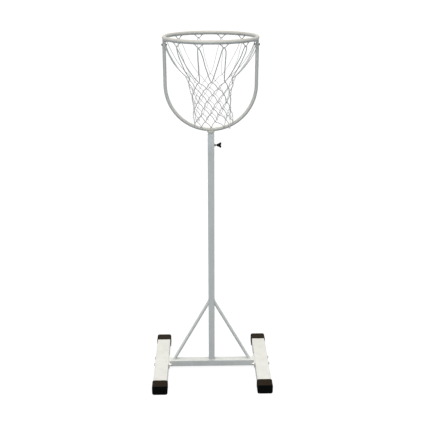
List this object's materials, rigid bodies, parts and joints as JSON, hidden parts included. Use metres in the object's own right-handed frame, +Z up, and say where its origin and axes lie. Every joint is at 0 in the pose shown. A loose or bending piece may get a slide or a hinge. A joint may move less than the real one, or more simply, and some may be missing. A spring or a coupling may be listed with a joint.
{
  "type": "free-standing practice hoop",
  "caption": "Free-standing practice hoop with a net, a U-shaped yoke, a telescopic square mast with a wing-knob clamp, and a braced H-shaped floor stand.",
  "frame": {"origin": "on the floor under the centre of the mast, which is the middle of the stand's underside", "axes": "+Z up along the mast, +X to the viewer's right along the cross beam, +Y away from the viewer along the feet"},
  "size_m": [0.6938, 0.556, 1.957],
  "materials": {
    "frame_paint": "satin light grey powder coat",
    "head_paint": "satin pale grey powder coat",
    "foot_paint": "satin off-white powder coat",
    "cap_plastic": "moulded black, finely grained",
    "knob_plastic": "moulded black",
    "zinc_steel": "bright zinc plating",
    "dark_steel": "blackened steel",
    "net_cord": "braided white cord"
  },
  "bodies": {
    "base": {"left_foot_tube": "foot_paint", "right_foot_tube": "foot_paint", "front_left_cap": "cap_plastic", "rear_left_cap": "cap_plastic", "front_right_cap": "cap_plastic", "rear_right_cap": "cap_plastic", "cross_beam": "frame_paint", "left_flange_plate": "frame_paint", "right_flange_plate": "frame_paint", "left_brace": "frame_paint", "right_brace": "frame_paint", "outer_mast": "frame_paint", "clamp_nut": "dark_steel", "base_bolts": "zinc_steel", "base_nuts": "zinc_steel", "base_washers": "zinc_steel"},
    "head": {"inner_mast": "head_paint", "mast_glide_plug": "cap_plastic", "saddle_plate": "head_paint", "yoke": "head_paint", "ring": "head_paint", "ring_stubs": "head_paint", "ring_bolts": "dark_steel", "ring_nuts": "dark_steel", "net_eyelets": "head_paint", "net": "net_cord"},
    "clamp_screw": {"clamp_screw": "dark_steel"},
    "wing_knob": {"wing_knob": "knob_plastic"}
  },
  "joints": [
    {"name": "mast_height", "type": "slide", "parent": "base", "child": "head", "axis": [0, 0, 1], "range_m": [-0.0145, 1.093]},
    {"name": "clamp_travel", "type": "slide", "parent": "base", "child": "clamp_screw", "axis": [1, 0, 0], "range_m": [0, 0.00501]},
    {"name": "knob_turn", "type": "hinge", "parent": "clamp_screw", "child": "wing_knob", "pos_m": [0.031, 0, 1.389], "axis": [1, 0, 0], "range_deg": [0, 1440]}
  ],
  "couplings": [
    {"joint": "clamp_travel", "follows": "knob_turn", "m_per_rad": 0.00019894}
  ]
}
